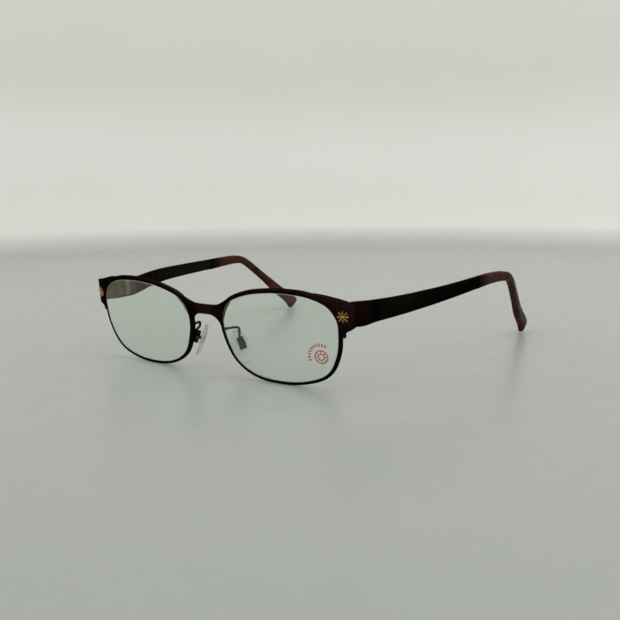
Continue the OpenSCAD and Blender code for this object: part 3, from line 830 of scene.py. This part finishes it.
# Upper distance and height, lower distance and height, middle's x, thickness
TIP = [
    (BLADE_LENGTH + 0.05, 2.65, BLADE_LENGTH + 0.05, -2.9, BLADE_END_X - BLADE_THICKNESS / 2, 2.5),
    (82, 2.35, 82, -2.7, 77, 3.1),
    (93.5, 1.4, 92.3, -3, 78.3, 3.3),
    (102.3, -1.6, 100.5, -5, 78.6, 3.4),
    (115.4, -12.2, 112.8, -15.4, 76.1, 3.5),
    (126.3, -20.9, 122.3, -25.2, 73.9, 3.6),
    (136.2, -28.1, 129.3, -31.2, 72.8, 3.6),
    (139.8, -31.3, TIP_END, TIP_END_LOW, 72.2, 3.3),
]
# How square the ovals are: 1 is an ellipse, and less is squarer
TIP_SQUARE, CORE_SQUARE, CAP_SQUARE = 0.72, 0.7, 0.8
CORE_THICKNESS, CORE_HALF, CORE_PLAY = 1.1, 1.15, 0.05
SIDE_WAY = np.array([1, 0, 0])
# How far the tip stays dark from its mouth, over what length it clears, and the rounding of its end
MOUTH_DARK, MOUTH_FADE = 6.5, 1.6
END_ROUND = 0.9
# The cap beyond the tip's last section: each ring's share of that section, and how far past it lies
END_CAP = ((0.93, 0.09), (0.78, 0.16), (0.5, 0.21), (0.2, 0.23))
TIP_STEPS = 84
BORE_STEPS = 64


def temple():
    """A flat blade, warmer and paler on its inner face than on its outer one."""
    rings, tones = [], []
    for s, x, up, low in along(BLADE, 120):
        corners = [from_hinge(x, s, -low), from_hinge(x - BLADE_THICKNESS, s, -low),
                   from_hinge(x - BLADE_THICKNESS, s, up), from_hinge(x, s, up)]
        rings.append(rounded(corners, (BLADE_ROUND,) * 4, 5))
        tones.append([0.1] * 6 + [1.0] * 6 + [0.6] * 6 + [0.3] * 6)
    rings[0] = eased_end(rings[0])
    return loft(rings, tones)


def tip_ends(q):
    """The upper and lower points of a tip section."""
    return from_hinge(q[4], q[0], q[1]), from_hinge(q[4], q[2], q[3])


def core_ring(q, play, count):
    """The core wire's section in a section of the tip, with some play round it."""
    upper, lower = tip_ends(q)
    middle, half = (upper + lower) / 2, unit(upper - lower) * (CORE_HALF + play)
    return oval(middle + half, middle - half, SIDE_WAY, CORE_THICKNESS + 2 * play, CORE_SQUARE, count)


def temple_tip():
    """A tip with a rounded mouth, a rounded end and the bore for its wire."""
    count = 40
    shell = along(TIP, TIP_STEPS)
    rings, tones = [], []

    def add(ring, tone):
        rings.append(ring)
        tones.append([tone] * count)

    for q in shell[BORE_STEPS::-4]:
        add(core_ring(q, CORE_PLAY, count), 1)
    upper, lower = tip_ends(shell[0])
    inset = unit(upper - lower) * 0.25
    add(oval(upper - inset, lower + inset, SIDE_WAY, shell[0][5] - 0.45, TIP_SQUARE, count), 1)
    end = sum(tip_ends(shell[-1])) / 2
    for k, q in enumerate(shell):
        upper, lower = tip_ends(q)
        left = min(END_ROUND, np.linalg.norm((upper + lower) / 2 - end))
        inset = END_ROUND - math.sqrt(END_ROUND ** 2 - (END_ROUND - left) ** 2)
        down = unit(lower - upper) * inset
        upper, lower = upper + down, lower - down
        dark = 1 / (1 + math.exp((q[0] - BLADE_LENGTH - MOUTH_DARK) / MOUTH_FADE))
        ring = oval(upper, lower, SIDE_WAY, q[5] - inset, TIP_SQUARE, count)
        if k == 0:
            ring = [p + np.array([0, 0.12, 0]) for p in ring]
        add(ring, dark)
    way = unit(np.cross(SIDE_WAY, upper - lower))
    way = way if way[1] > 0 else -way
    middle, half = (upper + lower) / 2, (upper - lower) / 2
    for share, past in END_CAP:
        width = (shell[-1][5] - END_ROUND) * share
        ring = oval(middle + half * share, middle - half * share, SIDE_WAY, width, CAP_SQUARE, count)
        add([p + way * past for p in ring], 0)
    return loft(rings, tones)


def core_wire():
    """The wire in the tip's bore, from its root in the blade."""
    shell = along(TIP, TIP_STEPS)
    root = shell[0] - np.array([0.7, 0, 0.7, 0, 0, 0])
    rings = [core_ring(q, 0, 20) for q in [root] + shell[:BORE_STEPS - 2:2]]
    return loft(capped(rings, 0.7, 0.15))


# ---- Nose pads and their arms ----

# The pad screw's middle, and the pad's lean and turn about it
PAD_POS = Vector((12.2, 8.4, 12.9))
PAD_FRONTAL, PAD_TURN = math.radians(26), math.radians(90 - 40)
PAD_LENGTH, PAD_WIDTH, PAD_OFFSET, PAD_DROP = 14.6, 7.6, 2.35, -0.6
ARM_R = 0.5
ARM_ROUTE = [
    (8.62, 2.35, 19.3), (9.4, 4.8, 19.3), (10.1, 7.2, 19.3), (10.7, 8.6, 18.8), (11, 8.6, 17.3),
    (11.7, 7.8, 16.2), (12.3, 7.35, 15.4), (12.9, 7.3, 14.4),
]


def nose_pad():
    """A rounded drop, fuller below, hollowed a little along its length."""
    place = (Matrix.Translation(PAD_POS) @ Matrix.Rotation(-PAD_FRONTAL, 4, "Y")
             @ Matrix.Rotation(PAD_TURN, 4, "Z") @ Matrix.Translation((0, PAD_OFFSET, PAD_DROP)))
    profile = [(0.02, -1), (0.35, -1), (0.8, -0.95), (0.96, -0.6), (1, -0.1), (0.96, 0.35), (0.8, 0.75),
               (0.45, 0.97), (0.02, 1)]
    count = 56
    rings = []
    for size, way in along(profile, 40):
        ring = []
        for i in range(count):
            a = -2 * math.pi * i / count
            across = PAD_WIDTH / 2 * math.cos(a) * (1 - 0.14 * math.sin(a)) * size
            up = PAD_LENGTH / 2 * math.sin(a) * size
            ring.append(np.array(place @ Vector((across, way + 0.012 * across ** 2, up))))
        rings.append(ring)
    return loft(rings)


def pad_arm():
    """A bent wire that swells where it is brazed to the rim and to the box."""
    line = along(ARM_ROUTE, 80)
    last = len(line) - 1
    at_rim, at_box, fade = 0.5, 0.3, 3
    swell = [at_rim * math.exp(-k / fade) + at_box * math.exp(-(last - k) / fade)
             for k in range(last + 1)]
    return tube(line, [ARM_R * (1 + more) for more in swell])


# ---- The pieces ----

add_piece("bridge_band", 1, [bridge()], FRONT_METAL, "front", ("bridge",))
for side, sign in SIDES.items():
    arm, pad = f"{side}_temple_arm", f"{side}_pad"
    add_piece(f"{side}_rim_wire", sign, [rim()], FRONT_METAL, "front", (f"{side}_rim",), 30)
    ground_faces(
        add_piece(f"{side}_lens_body", sign, [lens()], LENS, "front", (f"{side}_lens",), 20))
    add_piece(f"{side}_end_plate", sign, [end_piece()], FRONT_METAL, "front", (f"{side}_end_piece",))
    add_piece(f"{side}_rosette_flower", sign, rosette(), GOLD, "front", (f"{side}_rosette",))
    add_piece(f"{side}_pad_arm_wire", sign, [pad_arm()], PAD_METAL, "front", (f"{side}_pad_arm",))
    add_piece(f"{side}_temple_blade", sign, [temple()], TEMPLE_METAL, arm, (f"{side}_temple",))
    add_piece(f"{side}_tip_sleeve", sign, [temple_tip()], ACETATE, arm, (f"{side}_temple_tip",))
    add_piece(f"{side}_tip_core", sign, [core_wire()], CORE, arm, (f"{side}_core_wire",))
    add_piece(f"{side}_pad_cushion", sign, [nose_pad()], PAD_CLEAR, pad, (f"{side}_nose_pad",))
    for kind, material, body, slot in (
            ("rim_lock_upper", FRONT_METAL, "front", "front_metal"),
            ("rim_lock_lower", FRONT_METAL, "front", "front_metal"),
            ("rim_lock_screw", STEEL, "front", "screw_steel"),
            ("hinge_front", BRASS, "front", "hinge_metal"),
            ("hinge_temple", BRASS, arm, "hinge_metal"),
            ("hinge_screw", STEEL, "front", "screw_steel"),
            ("pad_box", PAD_METAL, "front", "pad_metal"),
            ("pad_insert", BRASS, pad, "hinge_metal"),
            ("pad_screw", STEEL, "front", "screw_steel")):
        refined(f"{side}_{kind}", material, body)
add_piece("left_lens_mark", 1, fitting_mark(), INK, "front")


# ---- Floor, light and camera ----

# In metres
FLOOR_R, COVE_R, WALL_TOP = 0.55, 0.22, 0.9


def pale_cove():
    """A round floor that curves up into a low wall all round."""
    floor_rings, first_ring, segments = 12, 0.04, 96
    arcs = [math.radians(a) for a in range(0, 91, 6)]
    profile = [(first_ring + FLOOR_R * k / floor_rings, 0) for k in range(floor_rings)]
    profile += [(FLOOR_R + COVE_R * math.sin(a), COVE_R * (1 - math.cos(a))) for a in arcs]
    profile += [(FLOOR_R + COVE_R, WALL_TOP)]
    points = [(0, 0, 0)]
    for r, z in profile:
        points += [(r * math.cos(2 * math.pi * k / segments), r * math.sin(2 * math.pi * k / segments), z)
                   for k in range(segments)]
    faces = [(0, 1 + k, 1 + (k + 1) % segments) for k in range(segments)]
    for r in range(len(profile) - 1):
        a, b = 1 + r * segments, 1 + (r + 1) * segments
        faces += [(a + k, b + k, b + (k + 1) % segments, a + (k + 1) % segments) for k in range(segments)]
    mesh = bpy.data.meshes.new("floor")
    mesh.from_pydata(points, [], faces)
    mesh.polygons.foreach_set("use_smooth", [True] * len(mesh.polygons))
    mesh.materials.append(pale_floor())
    cove = bpy.data.objects.new("floor", mesh)
    bpy.context.scene.collection.objects.link(cove)


def soft_light(name, place, size, power):
    """A square area light that faces the glasses."""
    data = bpy.data.lights.new(name, "AREA")
    data.size, data.energy = size, power
    light = bpy.data.objects.new(name, data)
    light.location = place
    light.rotation_mode = "QUATERNION"
    light.rotation_quaternion = (-Vector(place)).to_track_quat("-Z", "Y")
    bpy.context.scene.collection.objects.link(light)


def camera(place, azimuth, down, roll, lens):
    """A camera turned left by azimuth, tilted down and rolled, in degrees, with its lens in millimetres."""
    a, e, r = map(math.radians, (azimuth, down, roll))
    right = Vector((math.cos(a), math.sin(a), 0))
    up = Vector((-math.sin(e) * math.sin(a), math.sin(e) * math.cos(a), math.cos(e)))
    back = right.cross(up)
    x = right * math.cos(r) + up * math.sin(r)
    y = up * math.cos(r) - right * math.sin(r)
    data = bpy.data.cameras.new("camera")
    data.lens, data.sensor_width, data.clip_start = lens, 36, 0.01
    eye = bpy.data.objects.new("camera", data)
    eye.matrix_world = Matrix.Translation(place) @ Matrix((x, y, back)).transposed().to_4x4()
    bpy.context.scene.collection.objects.link(eye)
    bpy.context.scene.camera = eye


pale_cove()
soft_light("overhead", (0.05, 0.1, 0.85), 0.9, 2.7)
soft_light("left_fill", (-0.5, -0.45, 0.5), 0.5, 1.0)
soft_light("back_fill", (0.35, 0.5, 0.55), 0.5, 0.8)
camera(place=(0.2144, -0.3084, 0.076), azimuth=35.36, down=9.16, roll=-0.58, lens=46.41)

world = bpy.data.worlds.new("studio")
world.use_nodes = True
sky = world.node_tree.nodes["Background"].inputs
sky["Color"].default_value = (0.95, 0.96, 0.95, 1)
sky["Strength"].default_value = 0.64
bpy.context.scene.world = world
bpy.context.scene.view_settings.view_transform = "Standard"
